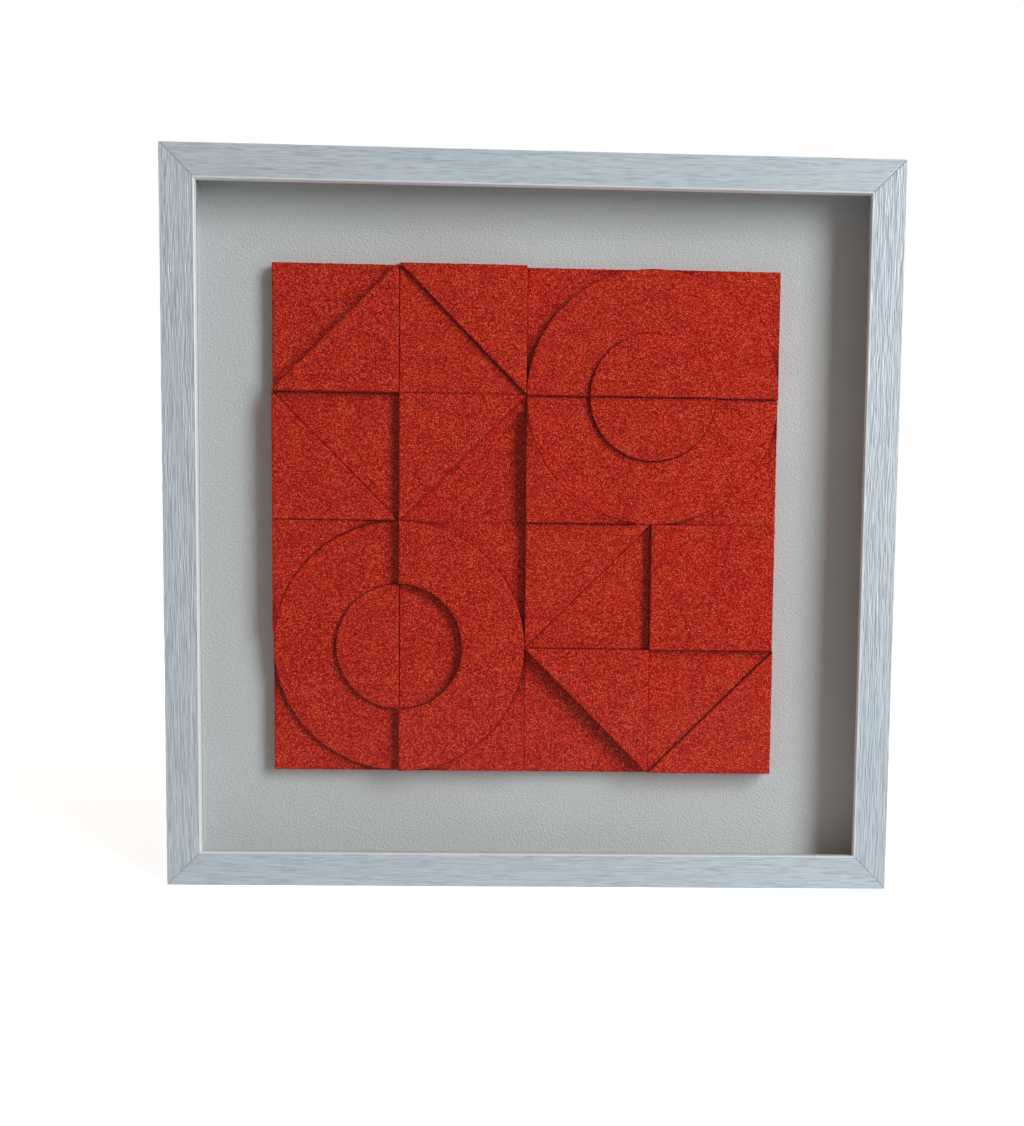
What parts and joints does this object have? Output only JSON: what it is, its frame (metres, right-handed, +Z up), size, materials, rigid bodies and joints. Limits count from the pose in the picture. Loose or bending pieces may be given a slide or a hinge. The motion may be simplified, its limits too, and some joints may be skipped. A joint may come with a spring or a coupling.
{
  "type": "framed block relief",
  "caption": "Square box frame with glass over a relief of grit-coated cut board blocks at stepped heights, glued to a textured card mount.",
  "frame": {"origin": "in the plane of the frame's bottom edge, midway along it and midway through the whole depth, bumpers included", "axes": "+Z up the frame, +Y from the front to the wall side, +X to the right as seen from the front"},
  "size_m": [0.43, 0.041, 0.43],
  "materials": {
    "whitewashed_moulding": "satin",
    "clear_glass": "polished",
    "spacer_card": "matte",
    "textured_card": "matte",
    "red_grit_board": "matte",
    "fibreboard": "matte",
    "spring_steel": "satin",
    "zinc_steel": "satin",
    "black_rubber": "matte"
  },
  "bodies": {
    "root": {"backing_board": "fibreboard", "bumpers": "black_rubber", "corner_nails": "spring_steel", "diamond_lower_corner_lower_right": "red_grit_board", "diamond_lower_corner_upper_left": "red_grit_board", "diamond_lower_corner_upper_right": "red_grit_board", "diamond_lower_quarter_lower_left": "red_grit_board", "diamond_lower_quarter_lower_right": "red_grit_board", "diamond_lower_quarter_upper_left": "red_grit_board", "diamond_lower_quarter_upper_right": "red_grit_board", "diamond_upper_corner_lower_left": "red_grit_board", "diamond_upper_corner_upper_right": "red_grit_board", "diamond_upper_quarter_lower_left": "red_grit_board", "diamond_upper_quarter_lower_right": "red_grit_board", "diamond_upper_quarter_upper_left": "red_grit_board", "diamond_upper_quarter_upper_right": "red_grit_board", "frame_bottom": "whitewashed_moulding", "frame_left": "whitewashed_moulding", "frame_right": "whitewashed_moulding", "frame_top": "whitewashed_moulding", "glass": "clear_glass", "glazier_points": "spring_steel", "hanger_left": "zinc_steel", "hanger_nails": "zinc_steel", "hanger_right": "zinc_steel", "mount_board": "textured_card", "relief_panel": "red_grit_board", "rings_lower_band_left": "red_grit_board", "rings_lower_band_right": "red_grit_board", "rings_lower_half_disc_left": "red_grit_board", "rings_lower_half_disc_right": "red_grit_board", "rings_lower_spandrel_lower_right": "red_grit_board", "rings_lower_spandrel_upper_left": "red_grit_board", "rings_upper_band_bottom": "red_grit_board", "rings_upper_band_top": "red_grit_board", "rings_upper_half_disc_bottom": "red_grit_board", "rings_upper_half_disc_top": "red_grit_board", "rings_upper_spandrel_lower_left": "red_grit_board", "rings_upper_spandrel_upper_right": "red_grit_board", "spacer_bottom": "spacer_card", "spacer_left": "spacer_card", "spacer_right": "spacer_card", "spacer_top": "spacer_card"}
  },
  "joints": []
}
